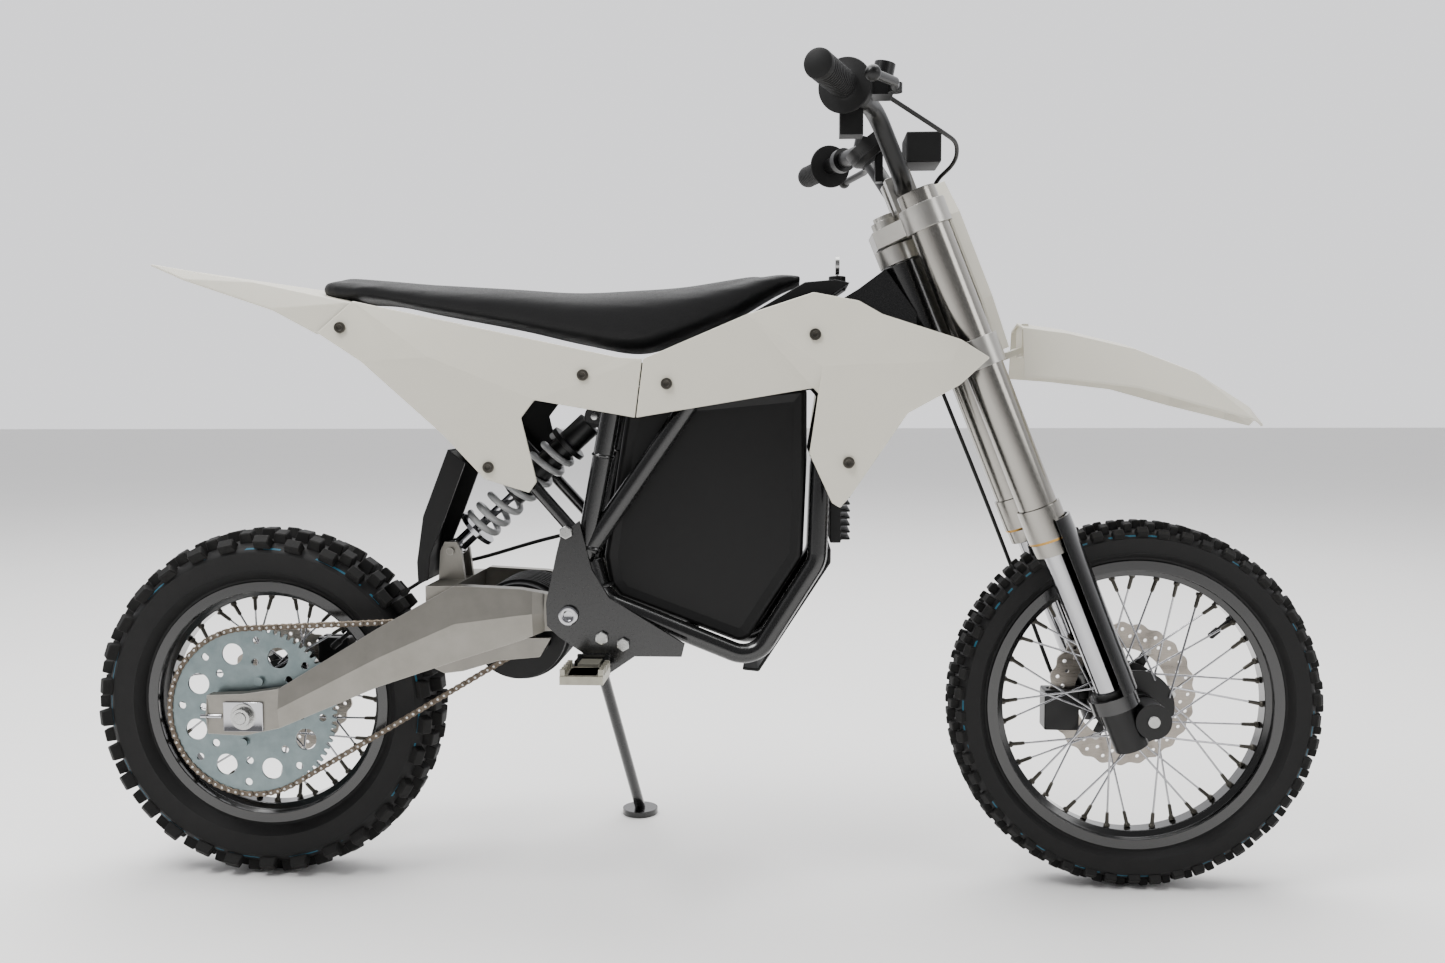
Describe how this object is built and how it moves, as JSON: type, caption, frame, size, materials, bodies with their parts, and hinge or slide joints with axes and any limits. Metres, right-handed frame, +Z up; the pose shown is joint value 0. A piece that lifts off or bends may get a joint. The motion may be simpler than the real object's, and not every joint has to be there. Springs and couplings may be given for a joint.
{
  "type": "electric youth dirt bike",
  "caption": "Ride-on electric youth dirt bike with spoked knobbly wheels, inverted fork, single rear shock, chain drive, white moulded bodywork and a fold-down side stand.",
  "frame": {"origin": "on the ground, half way between the axles, in the bike's middle plane", "axes": "+X forward, +Y to the rider's left, +Z up"},
  "size_m": [1.617, 0.6484, 1.0157],
  "materials": {
    "frame_black": "gloss powder coat",
    "battery_black": "matte",
    "cell_wrap": "shrink wrap",
    "seat_cover": "grained vinyl",
    "panel_white": "satin moulded",
    "bolt_steel": "zinc plated",
    "clamp_alloy": "bead blasted",
    "bar_black": "satin",
    "grip_rubber": "ribbed",
    "hose_rubber": "smooth",
    "fork_alloy": "brushed",
    "fork_chrome": "polished",
    "axle_clamp_black": "satin",
    "caliper_black": "satin",
    "tyre_rubber": "moulded",
    "rim_black": "gloss",
    "spoke_steel": "polished",
    "hub_black": "gloss",
    "disc_steel": "ground",
    "swingarm_alloy": "bead blasted",
    "sprocket_zinc": "zinc plated",
    "chain_steel": "oiled",
    "shock_black": "satin",
    "spring_grey": "powder coat",
    "peg_steel": "zinc plated"
  },
  "bodies": {
    "frame": {"head_tube": "frame_black", "main_frame": "frame_black", "pivot_plates": "frame_black", "subframe": "frame_black", "battery_case": "battery_black", "battery_pack": "cell_wrap", "motor_controller": "battery_black", "skid_plate": "battery_black", "seat_cushion": "seat_cover", "side_panels": "panel_white", "shrouds": "panel_white", "rear_fender": "panel_white", "inner_mudguard": "battery_black", "console_cover": "battery_black", "bolts_and_screws": "bolt_steel"},
    "key": {"ignition_key": "bolt_steel"},
    "steering": {"lower_clamp_and_stem": "clamp_alloy", "top_clamp": "clamp_alloy", "handlebar": "bar_black", "left_grip": "grip_rubber", "throttle_housing": "bar_black", "brake_masters": "bar_black", "display": "bar_black", "wiring_box": "bar_black", "number_plate": "panel_white", "front_fender": "panel_white", "fork_outer_tubes": "fork_alloy", "front_brake_hose": "hose_rubber"},
    "throttle": {"throttle_grip": "grip_rubber"},
    "front_lever": {"front_brake_lever": "bar_black"},
    "rear_lever": {"rear_brake_lever": "bar_black"},
    "fork_lower": {"fork_inner_tubes": "fork_chrome", "fork_axle_clamps": "axle_clamp_black", "fork_guards": "axle_clamp_black", "front_axle": "bolt_steel", "front_caliper": "caliper_black"},
    "front_wheel": {"front_tyre": "tyre_rubber", "front_rim": "rim_black", "front_spokes": "spoke_steel", "front_hub": "hub_black", "front_disc": "disc_steel"},
    "swingarm": {"swingarm": "swingarm_alloy", "rear_axle": "bolt_steel", "drive_motor": "caliper_black", "drive_chain": "chain_steel", "rear_caliper": "caliper_black", "rear_brake_hose": "hose_rubber"},
    "rear_wheel": {"rear_tyre": "tyre_rubber", "rear_rim": "rim_black", "rear_spokes": "spoke_steel", "rear_hub": "hub_black", "rear_disc": "disc_steel", "rear_sprocket": "sprocket_zinc"},
    "motor_rotor": {"motor_sprocket": "sprocket_zinc"},
    "shock_upper": {"shock_body": "shock_black"},
    "shock_lower": {"shock_shaft": "shock_black", "shock_spring": "spring_grey"},
    "stand": {"side_stand": "frame_black"},
    "peg_right": {"footpeg_right": "peg_steel"},
    "peg_left": {"footpeg_left": "peg_steel"}
  },
  "joints": [
    {"name": "steering_turn", "type": "hinge", "parent": "frame", "child": "steering", "pos_m": [0.29158, 0, 0.75265], "axis": [-0.3697, 0, 0.9291], "range_deg": [-36, 36]},
    {"name": "key_turn", "type": "hinge", "parent": "frame", "child": "key", "pos_m": [0.18607, -0.014, 0.785], "axis": [0, 0, 1], "range_deg": [0, 60]},
    {"name": "throttle_twist", "type": "hinge", "parent": "steering", "child": "throttle", "pos_m": [0.17062, -0.26609, 0.98066], "axis": [-0.3459, -0.9382, 0.0095], "range_deg": [0, 70], "stiffness_Nm_per_rad": 0.3, "springref_deg": -17.19},
    {"name": "front_lever_pull", "type": "hinge", "parent": "steering", "child": "front_lever", "pos_m": [0.24037, -0.22146, 0.97803], "axis": [0, 0, -1], "range_deg": [0, 13], "stiffness_Nm_per_rad": 2, "springref_deg": -17.19},
    {"name": "rear_lever_pull", "type": "hinge", "parent": "steering", "child": "rear_lever", "pos_m": [0.24037, 0.22146, 0.97803], "axis": [0, 0, 1], "range_deg": [0, 13], "stiffness_Nm_per_rad": 2, "springref_deg": -17.19},
    {"name": "fork_travel", "type": "slide", "parent": "steering", "child": "fork_lower", "axis": [-0.3697, 0, 0.9291], "range_m": [0, 0.12], "stiffness_N_per_m": 5000, "springref_m": -0.08, "deforming": ["front_brake_hose"]},
    {"name": "front_wheel_spin", "type": "hinge", "parent": "fork_lower", "child": "front_wheel", "pos_m": [0.572, 0, 0.24], "axis": [0, 1, 0], "continuous": true},
    {"name": "swingarm_travel", "type": "hinge", "parent": "frame", "child": "swingarm", "pos_m": [-0.152, 0, 0.366], "axis": [0, 1, 0], "range_deg": [0, 11], "stiffness_Nm_per_rad": 600, "springref_deg": -20.05, "deforming": ["rear_brake_hose"]},
    {"name": "rear_wheel_spin", "type": "hinge", "parent": "swingarm", "child": "rear_wheel", "pos_m": [-0.572, 0, 0.233], "axis": [0, 1, 0], "continuous": true, "deforming": ["drive_chain"]},
    {"name": "motor_spin", "type": "hinge", "parent": "swingarm", "child": "motor_rotor", "pos_m": [-0.224, 0, 0.338], "axis": [0, 1, 0], "continuous": true},
    {"name": "shock_swing", "type": "hinge", "parent": "frame", "child": "shock_upper", "pos_m": [-0.12799, 0, 0.615], "axis": [0, 1, 0], "range_deg": [-1, 3.86]},
    {"name": "shock_stroke", "type": "slide", "parent": "shock_upper", "child": "shock_lower", "axis": [0.737, 0, 0.6759], "range_m": [0, 0.036], "deforming": ["shock_spring"]},
    {"name": "stand_fold", "type": "hinge", "parent": "frame", "child": "stand", "pos_m": [-0.146, 0.07, 0.296], "axis": [0.2437, 0.8245, 0.5108], "range_deg": [0, 88]},
    {"name": "peg_right_fold", "type": "hinge", "parent": "frame", "child": "peg_right", "pos_m": [-0.12099, -0.113, 0.305], "axis": [-1, 0, 0], "range_deg": [0, 60], "stiffness_Nm_per_rad": 2, "springref_deg": -22.92},
    {"name": "peg_left_fold", "type": "hinge", "parent": "frame", "child": "peg_left", "pos_m": [-0.12099, 0.113, 0.305], "axis": [1, 0, 0], "range_deg": [0, 60], "stiffness_Nm_per_rad": 2, "springref_deg": -22.92}
  ],
  "couplings": [
    {"joint": "motor_spin", "follows": "rear_wheel_spin", "ratio": 5.1429},
    {"joint": "shock_swing", "follows": "swingarm_travel", "ratio": 0.2597},
    {"joint": "shock_stroke", "follows": "swingarm_travel", "m_per_rad": 0.172}
  ]
}
